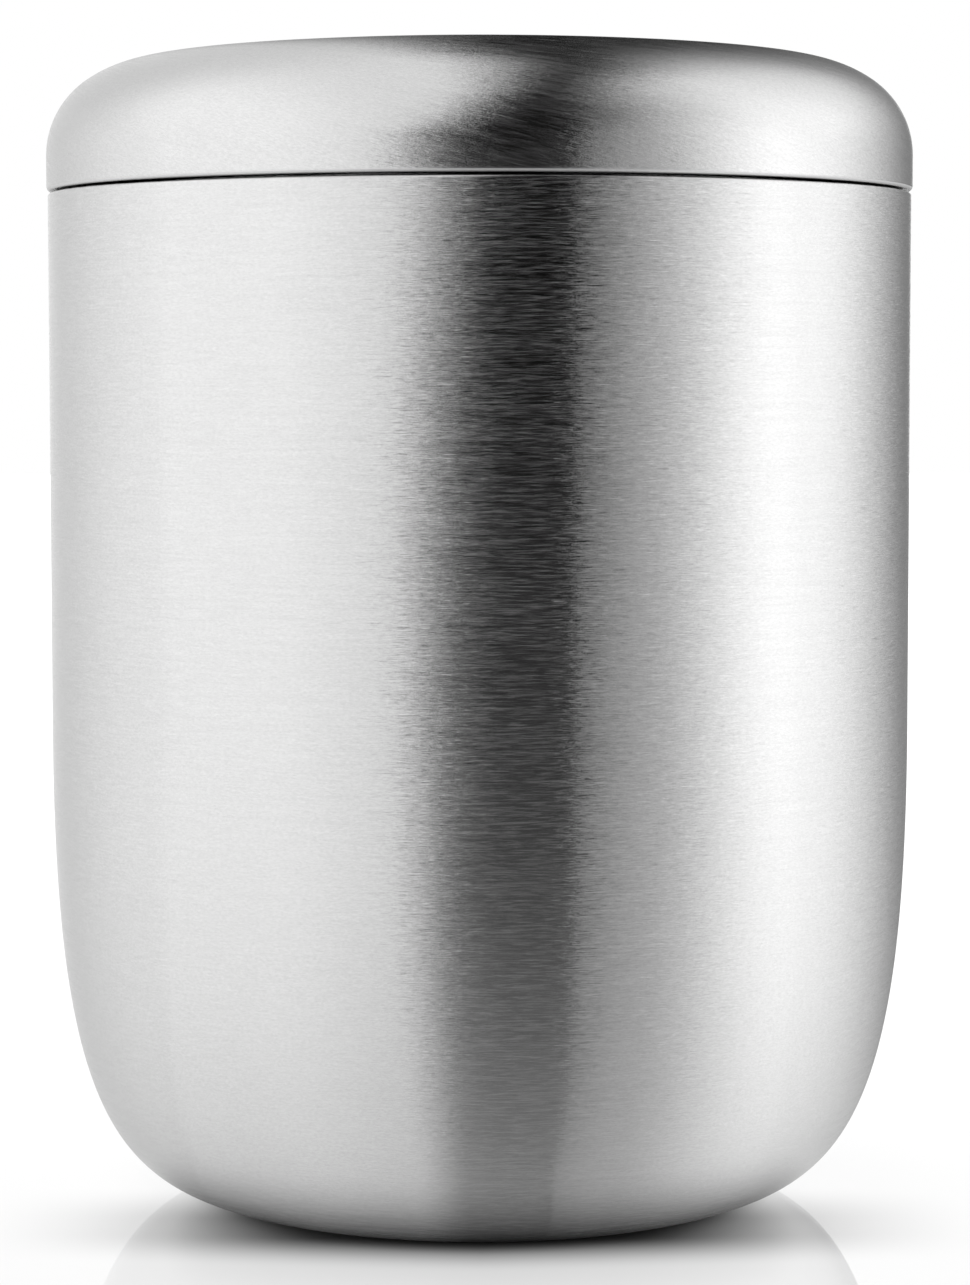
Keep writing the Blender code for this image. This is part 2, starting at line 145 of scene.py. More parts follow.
# How strong the finer parts of the streaks' noise are, and the smallest radius that is divided by
STREAK_ROUGHNESS = 0.6
AXIS_CLEARANCE = 0.1 * MM

# Where a noise, or its distance from its middle, starts to show and where it shows in full
NOISE_MIDDLE = 0.5
NOISE_SPAN = (0.3, 0.7)
GLINT_SPAN = (0.42, 0.72)
SCRATCH_SPAN = (0.12, 0.36)
DASH_SPAN = (0.05, 0.34)
TINT_SPAN = (0.35, 0.65)

# How far the noises change a material
GLINT_DARKER = 0.2
GLINT_PALER = 0.6
CLOUD_SWING = 0.012
STEEL_FINISH_SWING = 0.05
STEEL_TINT = 0.9
MOULDED_CLOUD = 14 * MM
MOULDED_TINT = 0.1
MOULDED_FINISH_SWING = 0.06
MOULDED_BUMP = 0.3

# Studio light: angles in degrees in the upright plane, 0 at the camera, 90 overhead and 180 behind the jar
RAISED = (4.0, 10.0)
OVERHEAD = (4.0, 56.0)
PAST_OVERHEAD = (88.0, 126.0)
BEHIND = (90.0, 150.0)
HIGH = (25.0, 95.0)
REAR = (136.0, 178.0)

# Left bank's border: degrees to the right of the plane, at the jar's height, just above, overhead and past it
LEFT_START = (-7.0, 1.2, 12.5, 0.5)
LEFT_FULL = (-27.0, -23.3, -7.5, -9.5)
LEFT_FRINGE = 0.14
LEFT_FRINGE_SPAN = (4.0, -16.0)

# Left bank: where it starts to brighten, where it is brightest, and both levels. Pairs: in front and behind
LEFT_INNER = (-14.0, -30.0)
LEFT_OUTER = (-58.0, -86.0)
LEFT_INNER_LEVEL = (1.06, 0.90)
LEFT_OUTER_LEVEL = (1.37, 1.27)

# Right bank in front. Pairs: at the jar's height and above it
RIGHT_EDGE = (24.2, 22.5)
RIGHT_EDGE_BLUR = 1.0
RIGHT_NEAR_START = (22.0, 20.0)
RIGHT_NEAR_END = (42.0, 48.0)
RIGHT_NEAR_START_LEVEL = (0.20, 0.02)
RIGHT_NEAR_END_LEVEL = 0.50
RIGHT_FAR_START = (38.0, 34.0)
RIGHT_FAR_END = 86.0
RIGHT_FAR_LEVEL = 1.22

# Right bank overhead, its start moving in past overhead, and behind the jar
HIGH_START = (14.0, 5.0)
HIGH_END = 36.0
HIGH_LEVEL = 1.02
HIGH_OUTER_SPAN = (24.0, 70.0)
HIGH_OUTER_LEVEL = 0.50
REAR_EDGE_SPAN = (2.0, 12.0)
REAR_SPAN = (20.0, 95.0)
REAR_LEVELS = (0.27, 1.67)

# Degrees that the left border moves at the jar's height: on the floor, near and far away, and in the air
NEAR_LEAN = (4.2, 1.8)
NEAR_LEAN_SPAN = (60 * MM, 300 * MM)
FAR_LEAN = -3.5
FAR_LEAN_SPAN = (1.4, 3.0)
AIR_LEAN = -3.2

# White screen behind the jar
SCREEN_SIDE = (10.0, 15.0)
SCREEN_OVER = (169.0, 175.0)

# Floor: its own look
FLOOR_SIZE = 6.0
FLOOR_TONE = 0.38
FLOOR_IOR = 1.45

# Floor as metal sees it, a painted glow: the banks' painted light, evened out near the jar and again at its
# foot, and a painted shadow under the foot
PUSH_SHARE = 0.5
EVEN_DISTANCE = 75 * MM
EVEN_POWER = 0.75
EVEN_SHARE = 0.57
EVEN_LEVEL = 0.25
FOOT_SPAN = (44 * MM, 70 * MM)
FOOT_SHARE = 0.70
FOOT_LEVEL = 0.17
FOOT_SHADOW_SPAN = (32.5 * MM, 53 * MM)
FOOT_SHADOW_BEHIND_SPAN = (-24 * MM, 6 * MM)
FOOT_SHADOW_BEHIND_SHIFT = 8.0 * MM

# Floor as the camera sees it: the fades of a painted shadow, and the white glow around it from left to right,
# stronger to the right as painted light that evens out its shading there, and a little stronger in the middle
SHADOW_FRONT = (29.5 * MM, 45 * MM)
SHADOW_BOW = 0.1
SHADOW_SIDE = (18 * MM, 62 * MM)
SHADOW_BACK = (-19 * MM, 0.0)
CONTACT_SPAN = (29 * MM, 37 * MM)
WHITE_SPAN = (-50 * MM, 50 * MM)
WHITE_LEVELS = (0.51, 0.545)
WHITE_MIDDLE = 0.03
WHITE_MIDDLE_SPAN = (8 * MM, 38 * MM)

# Camera: where it stands, how it is tilted, and its lens on a 36 mm tall film
CAMERA_PLACE = Vector((0.62, -465.0, 103.5)) * MM
CAMERA_PITCH = math.radians(4.284)
CAMERA_ROLL = math.radians(-0.05)
CAMERA_LENS = 104.82
FILM_HEIGHT = 36.0
NEAREST_SEEN = 0.01
FARTHEST_SEEN = 50.0

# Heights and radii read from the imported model
outer_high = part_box("outer_shell")[1]
liner_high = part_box("inner_liner")[1]
cover_low, cover_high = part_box("lid_cover")
insert_low, insert_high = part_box("lid_insert")
gasket_low, gasket_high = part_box("lid_gasket")
pad_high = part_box("foot_pad")[1]
body_radius = outer_high.x
neck_top = outer_high.z
shoulder_height = neck_top - NECK_HEIGHT
neck_radius = body_radius - SHOULDER_WIDTH
liner_radius = liner_high.x
liner_neck_radius = neck_radius - SHELL_WALL - LINER_NECK_GAP
mouth_radius = liner_neck_radius - LINER_WALL
lip_top = liner_high.z
lip_bottom = lip_top - LIP_HEIGHT
lid_radius = cover_high.x
lid_bottom = cover_low.z
hem_radius = lid_radius - HEM_THICKNESS
hem_top = lid_bottom + HEM_HEIGHT
pad_radius = pad_high.x
recess_radius = FOOT_RADIUS - FOOT_RIM
recess_ceiling = pad_high.z + GAP
insert_radius = insert_high.x
insert_bottom = insert_low.z
insert_bore = neck_radius + THREAD_DEPTH + THREAD_CLEARANCE
plug_radius = mouth_radius - PLUG_CLEARANCE
plug_bottom = lip_top - PLUG_DEPTH
plate_bottom = gasket_high.z + GAP
plate_top = plate_bottom + INSERT_WALL
neck_ridge_start = shoulder_height + GAP + THREAD_ROOT_WIDTH / 2
lid_ridge_start = insert_bottom + THREAD_ROOT_WIDTH / 2
thread_rise = NECK_HEIGHT - THREAD_ROOT_WIDTH - 2 * GAP
thread_sweep = thread_rise / THREAD_LEAD * math.tau
thread_lag = (lid_ridge_start - neck_ridge_start + THREAD_STAGGER) / THREAD_LEAD * math.tau


def bezier(start, pull_start, pull_end, end, steps):
    """Points of one cubic curve, both ends included."""
    points = []
    for i in range(steps + 1):
        t = i / steps
        weights = ((1 - t) ** 3, 3 * t * (1 - t) ** 2, 3 * t * t * (1 - t), t ** 3)
        corners = (start, pull_start, pull_end, end)
        points.append(tuple(sum(w * c[k] for w, c in zip(weights, corners)) for k in (0, 1)))
    return points


def arc(centre, radius, first, last, steps):
    """Points of an arc, its angles measured from the outward radius."""
    angles = [first + (last - first) * i / steps for i in range(steps + 1)]
    return [(centre[0] + radius * math.cos(a), centre[1] + radius * math.sin(a)) for a in angles]


def line(start, end, spacing):
    """Points along a straight run, no further apart than the spacing, without its last point."""
    length = (Vector(end) - Vector(start)).length
    steps = max(1, math.ceil(length / spacing))
    return [tuple(Vector(start).lerp(Vector(end), i / steps)) for i in range(steps)]


def rounded(corners, steps=BEND_STEPS):
    """A path through corners given as (radius, height, bend), each bend rounded off."""
    points = []
    for i, (r, z, bend) in enumerate(corners):
        here = Vector((r, z))
        if bend == 0:
            points.append((r, z))
            continue
        back = (Vector(corners[i - 1][:2]) - here).normalized()
        ahead = (Vector(corners[(i + 1) % len(corners)][:2]) - here).normalized()
        half = back.angle(ahead) / 2
        centre = here + (back + ahead).normalized() * (bend / math.sin(half))
        start = here + back * (bend / math.tan(half)) - centre
        end = here + ahead * (bend / math.tan(half)) - centre
        sweep = start.angle_signed(end)
        for k in range(steps + 1):
            swung = Matrix.Rotation(-sweep * k / steps, 2) @ start
            points.append(tuple(centre + swung))
    return points


def offset(path, distance):
    """The path moved sideways, to its right where distance is positive, with mitred corners."""
    headings = [(Vector(b) - Vector(a)).normalized() for a, b in zip(path, path[1:])]
    rights = [Vector((h.y, -h.x)) for h in headings]
    moved = []
    for i, point in enumerate(path):
        before, after = rights[max(i - 1, 0)], rights[min(i, len(rights) - 1)]
        mitre = (before + after).normalized()
        moved.append(tuple(Vector(point) + mitre * (distance / mitre.dot(after))))
    return moved


def thread_height(angle, height, first_angle, first_height):
    """How much of its depth a rolled thread has at a place on its wall, from 0 to 1."""
    most = 0.0
    for start in range(THREAD_STARTS):
        along = (angle - first_angle - math.tau * start / THREAD_STARTS) % math.tau
        if along > thread_sweep:
            continue
        away = abs(height - first_height - THREAD_LEAD * along / math.tau) / (THREAD_ROOT_WIDTH / 2)
        if away < 1.0:
            ends = min(1.0, min(along, thread_sweep - along) / THREAD_RUNOUT)
            full = math.sin(ends * math.pi / 2)
            most = max(most, full * min(1.0, (1.0 + math.cos(away * math.pi)) * THREAD_CREST))
    return most


def turned(name, outline, segments, reach=None):
    """A closed solid spun about Z from a closed outline, which may start and end on the axis.

    reach(angle, radius, height) gives the radius to use there, for walls that carry a thread.
    """
    body = bmesh.new()
    rings = []
    for r, z in outline:
        if r == 0.0:
            rings.append([body.verts.new((0.0, 0.0, z))] * segments)
            continue
        ring = []
        for k in range(segments):
            angle = math.tau * k / segments
            radius = reach(angle, r, z) if reach else r
            ring.append(body.verts.new((radius * math.cos(angle), radius * math.sin(angle), z)))
        rings.append(ring)
    pairs = list(zip(rings, rings[1:]))
    if outline[0][0] > 0.0 or outline[-1][0] > 0.0:
        pairs.append((rings[-1], rings[0]))
    for upper, lower in pairs:
        for k in range(segments):
            corners = (upper[k - 1], upper[k], lower[k], lower[k - 1])
            body.faces.new(list(dict.fromkeys(corners)))
    bmesh.ops.recalc_face_normals(body, faces=body.faces)
    mesh = bpy.data.meshes.new(name)
    body.to_mesh(mesh)
    body.free()
    mesh.shade_smooth()
    made = bpy.data.objects.new(name, mesh)
    bpy.context.scene.collection.objects.link(made)
    return made


class Graph:
    """Short ways to add and link nodes in one node tree. Each value is a number or a node's output."""

    def __init__(self, tree):
        self.tree = tree

    def node(self, kind, settings=None, **inputs):
        made = self.tree.nodes.new(kind)
        for key, value in (settings or {}).items():
            setattr(made, key, value)
        for key, value in inputs.items():
            self.feed(made.inputs[key.replace("_", " ")], value)
        return made

    def feed(self, socket, value):
        if isinstance(value, bpy.types.NodeSocket):
            self.tree.links.new(value, socket)
        else:
            socket.default_value = value

    def math(self, operation, first, second=None):
        made = self.tree.nodes.new("ShaderNodeMath")
        made.operation = operation
        self.feed(made.inputs[0], first)
        if second is not None:
            self.feed(made.inputs[1], second)
        return made.outputs[0]

    def plus(self, first, second):
        return self.math("ADD", first, second)

    def minus(self, first, second):
        return self.math("SUBTRACT", first, second)

    def times(self, first, second):
        return self.math("MULTIPLY", first, second)

    def ramp(self, value, start, end, low, high, kind="SMOOTHSTEP"):
        """Goes from low to high while value goes from start to end."""
        made = self.tree.nodes.new("ShaderNodeMapRange")
        made.interpolation_type = kind
        for socket, given in zip(made.inputs, (value, start, end, low, high)):
            self.feed(socket, given)
        return made.outputs[0]

    def mix(self, low, high, factor):
        """low where factor is 0, high where it is 1."""
        made = self.tree.nodes.new("ShaderNodeMix")
        self.feed(made.inputs["Factor"], factor)
        self.feed(made.inputs["A"], low)
        self.feed(made.inputs["B"], high)
        return made.outputs["Result"]

    def vector(self, operation, first, second=None):
        made = self.tree.nodes.new("ShaderNodeVectorMath")
        made.operation = operation
        self.feed(made.inputs[0], first)
        if second is not None:
            self.feed(made.inputs["Scale" if operation == "SCALE" else 1], second)
        return made.outputs["Vector"]

    def xyz(self, x, y, z):
        made = self.tree.nodes.new("ShaderNodeCombineXYZ")
        for socket, value in zip(made.inputs, (x, y, z)):
            self.feed(socket, value)
        return made.outputs[0]

    def noise(self, vector, scale=1.0, detail=2.0, roughness=0.5):
        made = self.tree.nodes.new("ShaderNodeTexNoise")
        self.feed(made.inputs["Vector"], vector)
        made.inputs["Scale"].default_value = scale
        made.inputs["Detail"].default_value = detail
        made.inputs["Roughness"].default_value = roughness
        return made.outputs["Fac"]

    def mix_shaders(self, first, second, factor):
        """The first shader where factor is 0, the second where it is 1."""
        made = self.node("ShaderNodeMixShader", Fac=factor)
        self.feed(made.inputs[1], first)
        self.feed(made.inputs[2], second)
        return made.outputs[0]

    def grey(self, value):
        made = self.tree.nodes.new("ShaderNodeCombineColor")
        for socket in made.inputs[:3]:
            self.feed(socket, value)
        return made.outputs[0]


def new_material(name):
    """An empty procedural material: its graph, and its Principled shader."""
    made = bpy.data.materials.new(name)
    made.use_nodes = True
    shader = made.node_tree.nodes["Principled BSDF"]
    return made, Graph(made.node_tree), shader


def around_the_axis(graph):
    """Object coordinates, and the same place as a unit circle, a radius and a height."""
    place = graph.node("ShaderNodeTexCoord").outputs["Object"]
    x, y, z = graph.node("ShaderNodeSeparateXYZ", Vector=place).outputs
    radius = graph.math("SQRT", graph.plus(graph.times(x, x), graph.times(y, y)))
    safe = graph.math("MAXIMUM", radius, AXIS_CLEARANCE)
    return place, graph.math("DIVIDE", x, safe), graph.math("DIVIDE", y, safe), radius, z


def streaks(graph, circle_x, circle_y, along_section, length, width, shear=0.0, detail=0.0):
    """Fine lines that run round the axis: long around it, thin along the section."""
    rounds = body_radius / length
    across = graph.math("DIVIDE", along_section, width)
    if shear:
        lean = graph.times(graph.math("ARCTAN2", circle_y, circle_x), shear * body_radius / width)
        across = graph.plus(across, lean)
    place = graph.xyz(graph.times(circle_x, rounds), graph.times(circle_y, rounds), across)
    return graph.noise(place, detail=detail, roughness=STREAK_ROUGHNESS)


def facets(graph, grain, steepest, span):
    """A slope that is flat over most of the grain and steep, to either side, far from its middle."""
    away = graph.minus(grain, NOISE_MIDDLE)
    size = graph.ramp(graph.math("ABSOLUTE", away), *span, 0.0, steepest)
    return graph.times(size, graph.math("SIGN", away))


def brushed_steel(name, tone, finish, anisotropy, inward, length, width, scratch, dash, grit, mottle, haze,
                  shear=0.0):
    """Steel brushed round the axis. inward is +1 where the section runs in as it falls, -1 as it rises.

    Sparse scratches, short dashes and a fine grit lean the surface to the left or right, by the slopes
    given, which shows only where the light changes sideways. mottle is how much fine marks change the tone,
    haze the most light that a glint scatters all round, which shows where the steel mirrors something dark.
    """
    made, graph, shader = new_material(name)
    place, circle_x, circle_y, radius, z = around_the_axis(graph)
    where = (graph, circle_x, circle_y, graph.plus(z, graph.times(radius, inward)))
    scratches = streaks(*where, length, width, shear)
    dashes = streaks(*where, DASH_LENGTH * length, width, shear)
    grain = streaks(*where, GRAIN_LENGTH * width, width)
    upward = streaks(*where, UPWARD_GRAIN * width, UPWARD_GRAIN * width)
    bands = streaks(*where, BAND_LENGTH * length, BAND_WIDTH * width, shear, detail=2.0)
    clouds = graph.noise(place, scale=1 / STEEL_CLOUD, detail=3.0)
    marks = streaks(*where, *TONE_MARK, shear, detail=1.0)
    glints = streaks(*where, *GLINT_MARK, shear, detail=1.0)

    paler = graph.plus(graph.ramp(glints, *GLINT_SPAN, -GLINT_DARKER * haze, GLINT_PALER * haze, "LINEAR"),
                       graph.ramp(clouds, *NOISE_SPAN, -CLOUD_SWING, CLOUD_SWING, "LINEAR"))
    tone_shift = graph.plus(graph.ramp(marks, *NOISE_SPAN, 1.0 - mottle, 1.0 + mottle, "LINEAR"), paler)
    finish_range = (finish - STEEL_FINISH_SWING, finish + STEEL_FINISH_SWING)
    graph.feed(shader.inputs["Metallic"], graph.ramp(glints, *GLINT_SPAN, 1.0, 1.0 - haze, "LINEAR"))
    shader.inputs["Specular Tint"].default_value = (STEEL_TINT, STEEL_TINT, STEEL_TINT, 1.0)
    graph.feed(shader.inputs["Base Color"], graph.grey(graph.times(tone_shift, tone)))
    graph.feed(shader.inputs["Roughness"], graph.ramp(bands, *NOISE_SPAN, *finish_range, "LINEAR"))
    shader.inputs["Anisotropic"].default_value = anisotropy
    shader.inputs["Anisotropic Rotation"].default_value = BRUSHING_TURN

    tangent = graph.node("ShaderNodeTangent", {"direction_type": "RADIAL", "axis": "Z"}).outputs[0]
    graph.feed(shader.inputs["Tangent"], tangent)
    normal = graph.node("ShaderNodeNewGeometry").outputs["Normal"]
    lines = graph.plus(facets(graph, scratches, scratch, SCRATCH_SPAN), facets(graph, dashes, dash, DASH_SPAN))
    sideways = graph.plus(lines, graph.times(graph.minus(grain, NOISE_MIDDLE), grit))
    leant = graph.vector("ADD", normal, graph.vector("SCALE", tangent, sideways))
    along = graph.vector("CROSS_PRODUCT", normal, tangent)
    up = graph.times(graph.minus(upward, NOISE_MIDDLE), grit)
    leant = graph.vector("ADD", leant, graph.vector("SCALE", along, up))
    graph.feed(shader.inputs["Normal"], graph.vector("NORMALIZE", leant))
    return made


def shell_path(shoulder_bend):
    """Outer face of the whole steel shell, from the neck's top to the pump hole."""
    wall_end = FOOT_LIFT + CURVE_HEIGHT
    neck = line((neck_radius, neck_top), (neck_radius, shoulder_height + NECK_BEND), THREAD_PITCH_STEP)
    shoulder = rounded([
        (neck_radius, neck_top, 0),
        (neck_radius, shoulder_height, NECK_BEND),
        (body_radius, shoulder_height, shoulder_bend),
        (body_radius, wall_end, 0),
    ])[1:-1]
    foot = bezier(
        (body_radius, wall_end), (body_radius, wall_end - CURVE_PULL_DOWN),
        (FOOT_RADIUS + CURVE_PULL_OUT, FOOT_LIFT), (FOOT_RADIUS, FOOT_LIFT), FOOT_STEPS,
    )
    bend = SHELL_WALL + SHEET_BEND
    dimple_ceiling = recess_ceiling + DIMPLE_DEPTH
    underside = rounded([
        (FOOT_RADIUS, FOOT_LIFT, 0),
        (recess_radius, FOOT_LIFT, bend),
        (recess_radius, recess_ceiling, SHEET_BEND),
        (DIMPLE_RADIUS, recess_ceiling, bend),
        (DIMPLE_RADIUS, dimple_ceiling, SHEET_BEND),
        (PUMP_HOLE_RADIUS, dimple_ceiling, 0),
    ])
    return neck + shoulder + foot + underside[1:]


def on_neck(angle, radius, height):
    """The shell's radius with the thread rolled into its neck."""
    if abs(radius - neck_radius) > ON_WALL or height < shoulder_height:
        return radius
    return radius + THREAD_DEPTH * thread_height(angle, height, 0.0, neck_ridge_start)


def make_shell_skin(steel):
    """The outer steel in one piece: threaded neck, shoulder, wall, foot and underside."""
    inside = offset(shell_path(SHELL_WALL + SHEET_BEND), SHELL_WALL)[::-1]
    skin = turned("shell_skin", shell_path(SHOULDER_BEND) + inside, FINE_SEGMENTS, on_neck)
    skin.data.materials.append(steel)
    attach(skin, "jar")
    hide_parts("outer_shell", "shell_base")


def dome(inset):
    """The dome's path from the axis to where it meets the skirt, inset from the outer face."""
    shoulder = (lid_radius - SHOULDER_ARC_RADIUS, 0.0)
    slip = SHOULDER_ARC_RADIUS - CROWN_EDGE_RADIUS
    edge = (shoulder[0] + slip * math.cos(SHOULDER_ARC_END), slip * math.sin(SHOULDER_ARC_END))
    slope_end = math.pi / 2 - CROWN_EDGE_SLOPE
    radius = CROWN_EDGE_RADIUS + edge[0] / math.cos(slope_end)
    low = edge[1] - (radius - CROWN_EDGE_RADIUS) * math.sin(slope_end)
    springing = cover_high.z - low - radius
    crown = arc((0.0, low), radius - inset, math.pi / 2, slope_end, CROWN_STEPS)
    rim = arc(edge, CROWN_EDGE_RADIUS - inset, slope_end, SHOULDER_ARC_END, CROWN_EDGE_STEPS)
    side = arc(shoulder, SHOULDER_ARC_RADIUS - inset, SHOULDER_ARC_END, 0.0, LID_SHOULDER_STEPS)
    path = [(0.0, crown[0][1])] + crown[1:] + rim[1:] + side[1:]
    return [(r, z + springing) for r, z in path]


def make_cover_skin(steel, edge_steel):
    """The lid's steel cover with its hem folded in. The hem's outer edge has the edge steel."""
    roll = HEM_THICKNESS / 2
    fold = arc((lid_radius - roll, lid_bottom + roll), roll, 0.0, -math.pi, ROLL_STEPS)
    inner_wall = lid_radius - COVER_WALL
    outside = dome(0.0) + fold + [(hem_radius, hem_top), (inner_wall, hem_top)]
    skin = turned("cover_skin", outside + dome(COVER_WALL)[::-1], FINE_SEGMENTS)
    skin.data.set_sharp_from_angle(angle=STEEL_SHARP_EDGE)
    skin.data.materials.append(steel)
    skin.data.materials.append(edge_steel)
    for face in skin.data.polygons:
        outward = math.hypot(face.center.x, face.center.y)
        if outward > inner_wall and face.center.z < lid_bottom + HEM_EDGE:
            face.material_index = 1
    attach(skin, "lid")
    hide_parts("lid_cover")


def liner_path():
    """The liner's outer face, from under the lip to the axis."""
    top = shoulder_height
    low = top - LINER_SHOULDER_DROP
    middle = (top + low) / 2
    shoulder = bezier(
        (liner_neck_radius, top), (liner_neck_radius, middle),
        (liner_radius, middle), (liner_radius, low), LINER_SHOULDER_STEPS,
    )
    wall_end = LINER_FLOOR_HEIGHT + CURVE_HEIGHT
    bottom = bezier(
        (liner_radius, wall_end), (liner_radius, wall_end - CURVE_PULL_DOWN),
        (LINER_FOOT_RADIUS + CURVE_PULL_OUT, LINER_FLOOR_HEIGHT), (LINER_FOOT_RADIUS, LINER_FLOOR_HEIGHT),
        LINER_FOOT_STEPS,
    )
    return [(liner_neck_radius, lip_bottom)] + shoulder + bottom + [(0.0, LINER_FLOOR_HEIGHT)]


def make_liner_cup(steel):
    """The inner cup, its lip rolled over the neck's top."""
    outside = liner_path()
    inside = offset(outside, LINER_WALL)[::-1]
    centre = ((mouth_radius + neck_radius) / 2, lip_bottom + GAP / 2)
    roll = (neck_radius - mouth_radius) / 2
    rise = (lip_top - centre[1]) / roll
    round_over = arc(centre, roll, math.pi, 0.0, ROLL_STEPS)
    over = [(r, centre[1] + (z - centre[1]) * rise) for r, z in round_over]
    outline = inside + over + [(neck_radius, lip_bottom)] + outside
    cup = turned("liner_cup", outline, FINE_SEGMENTS)
    cup.data.set_sharp_from_angle(angle=STEEL_SHARP_EDGE)
    cup.data.materials.append(steel)
    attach(cup, "jar")
    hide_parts("inner_liner")


def in_bore(angle, radius, height):
    """The insert's radius with the thread moulded into its bore."""
    if abs(radius - insert_bore) > ON_WALL:
        return radius
    return radius - THREAD_DEPTH * thread_height(angle, height, thread_lag, lid_ridge_start)


def make_threaded_insert(plastic):
    """The lid's plastic insert: skirt, threaded bore, seat for the gasket and hollow plug."""
    corner = insert_bore + INSERT_WALL
    floor = insert_bottom + INSERT_WALL
    rim = insert_radius - INSERT_WALL
    rounding = INSERT_ROUND
    below = rounded([
        (0.0, plug_bottom, 0),
        (plug_radius, plug_bottom, PLUG_CORNER),
        (plug_radius, plate_bottom, rounding),
        (insert_bore, plate_bottom, rounding),
        (insert_bore, insert_bottom, rounding),
        (insert_radius, insert_bottom, rounding),
        (insert_radius, hem_top, 0),
    ], INSERT_BEND_STEPS)
    bore_top = plate_bottom - rounding
    bore_low = insert_bottom + rounding
    cut = next(
        i for i, (r, z) in enumerate(below)
        if abs(r - insert_bore) < SAME_PLACE and z <= bore_top + SAME_PLACE
    )
    bore = line((insert_bore, bore_top), (insert_bore, bore_low), THREAD_PITCH_STEP)
    below = below[:cut] + bore + below[cut + 1:]
    above = [
        (rim, hem_top), (rim, floor), (corner, floor), (corner, plate_top - INSERT_CHAMFER),
        (corner - INSERT_CHAMFER, plate_top), (plug_radius - INSERT_WALL, plate_top),
        (plug_radius - INSERT_WALL, plug_bottom + INSERT_WALL), (0.0, plug_bottom + INSERT_WALL),
    ]
    insert = turned("threaded_insert", below + above, FINE_SEGMENTS, in_bore)
    insert.data.set_sharp_from_angle(angle=PLASTIC_SHARP_EDGE)
    insert.data.materials.append(plastic)
    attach(insert, "lid")
    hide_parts("lid_insert")


def make_gasket_ring(silicone):
    """The sealing ring, its edges rounded."""
    inner = plug_radius + GAP
    outer = insert_bore - GAP
    low, high = gasket_low.z, gasket_high.z
    rounding = GASKET_ROUND
    outline = rounded([
        (inner, high, rounding), (outer, high, rounding), (outer, low, rounding), (inner, low, rounding),
    ])
    ring = turned("gasket_ring", outline, MIDDLE_SEGMENTS)
    ring.data.materials.append(silicone)
    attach(ring, "gasket")
    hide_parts("lid_gasket")


def make_foot_disc(silicone):
    """The foot pad, its edges rounded."""
    high = pad_high.z
    outline = [(0.0, high)] + rounded([
        (0.0, high, 0), (pad_radius, high, PAD_ROUND), (pad_radius, 0.0, PAD_ROUND), (0.0, 0.0, 0),
    ])[1:]
    disc = turned("foot_disc", outline, MIDDLE_SEGMENTS)
    disc.data.materials.append(silicone)
    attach(disc, "jar")
    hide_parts("foot_pad")


def moulded(name, colour, roughness, grain_size, grain_depth):
    """Moulded plastic or rubber: a flat colour with a fine, slightly uneven skin."""
    made, graph, shader = new_material(name)
    place = graph.node("ShaderNodeTexCoord").outputs["Object"]
    grain = graph.noise(place, scale=1 / grain_size, detail=3.0)
    clouds = graph.noise(place, scale=1 / MOULDED_CLOUD, detail=2.0)
    darker = [c * (1.0 - MOULDED_TINT) for c in colour]
    lighter = [min(1.0, c * (1.0 + MOULDED_TINT)) for c in colour]
    tint = graph.node("ShaderNodeMix", {"data_type": "RGBA"})
    graph.feed(tint.inputs["Factor"], graph.ramp(clouds, *TINT_SPAN, 0.0, 1.0))
    graph.feed(tint.inputs["A"], (*darker, 1.0))
    graph.feed(tint.inputs["B"], (*lighter, 1.0))
    graph.feed(shader.inputs["Base Color"], tint.outputs["Result"])
    finish_range = (roughness - MOULDED_FINISH_SWING, roughness + MOULDED_FINISH_SWING)
    graph.feed(shader.inputs["Roughness"], graph.ramp(grain, *NOISE_SPAN, *finish_range))
    bump = graph.node("ShaderNodeBump", Height=grain, Strength=MOULDED_BUMP, Distance=grain_depth)
    graph.feed(shader.inputs["Normal"], bump.outputs[0])
    return made


def plain_metal(name, colour, roughness, grain_size, grain_depth):
    """Metal with the same uneven skin, unbrushed."""
    made = moulded(name, colour, roughness, grain_size, grain_depth)
    made.node_tree.nodes["Principled BSDF"].inputs["Metallic"].default_value = 1.0
    return made


def dress_hidden_nodes():
    """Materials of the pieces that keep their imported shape: all are inside the walls or the lid.

    Each has its colour, its roughness, and the size and depth of its grain.
    """
    looks = {
        "radiation_foil": plain_metal("copper_foil", (0.72, 0.42, 0.28), 0.22, 3.0 * MM, 0.15 * MM),
        "getter": plain_metal("getter_alloy", (0.30, 0.30, 0.31), 0.6, 0.3 * MM, 0.05 * MM),
        "getter_strap": plain_metal("strap_steel", (0.55, 0.55, 0.55), 0.35, 0.4 * MM, 0.01 * MM),
        "seal_plug": moulded("sealing_glass", (0.16, 0.20, 0.18), 0.15, 1.0 * MM, 0.01 * MM),
        "lid_cap": moulded("cap_plastic", (0.05, 0.05, 0.052), 0.5, 0.4 * MM, 0.02 * MM),
        "lid_insulation": moulded("lid_foam", (0.88, 0.87, 0.82), 0.9, 0.8 * MM, 0.3 * MM),
    }
    for node, look in looks.items():
        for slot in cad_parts[node].material_slots:
            slot.material = look


